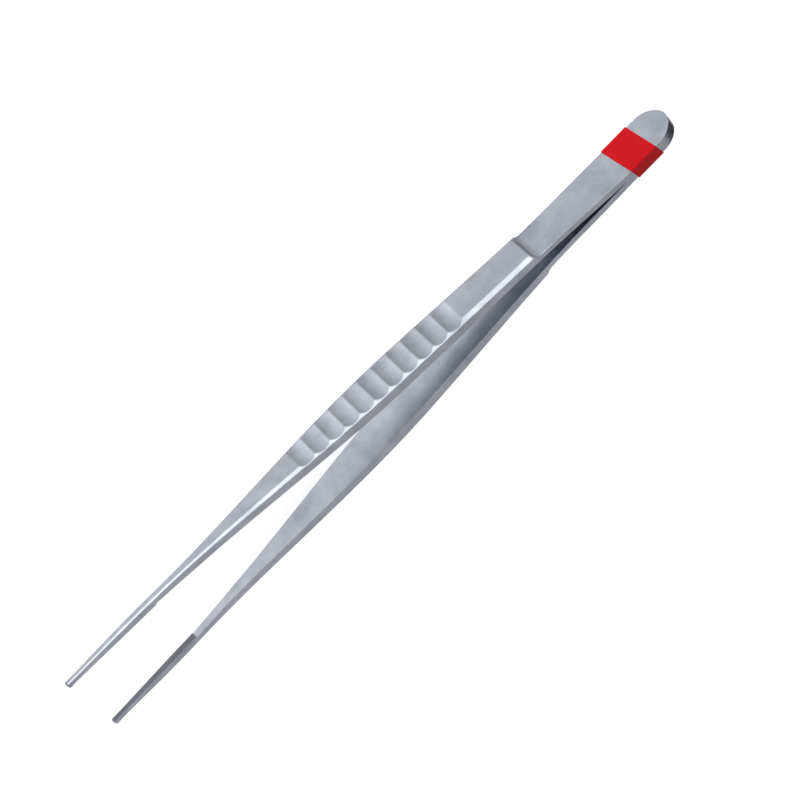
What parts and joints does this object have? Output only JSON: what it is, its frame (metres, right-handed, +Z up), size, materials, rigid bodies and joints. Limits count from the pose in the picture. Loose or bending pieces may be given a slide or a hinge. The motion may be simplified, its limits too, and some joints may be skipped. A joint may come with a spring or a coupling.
{
  "type": "thumb forceps",
  "caption": "Slim spring thumb forceps with long fine-toothed jaws, fluted thumb grips, a flat rounded head and a red identification band.",
  "frame": {"origin": "middle of the object's footprint, on the surface that it lies on: half way between head and tips, between the two arms", "axes": "+X along the forceps from the head to the tips, +Y across the opening toward the single-row arm, +Z up across the width of the arms"},
  "size_m": [0.2, 0.0258, 0.0108],
  "materials": {
    "satin_steel": "fine satin finish on forged stainless steel",
    "red_band": "smooth red polymer marking band"
  },
  "bodies": {
    "root": {"arm_double_row": "satin_steel", "arm_single_row": "satin_steel", "colour_band": "red_band"}
  },
  "joints": []
}
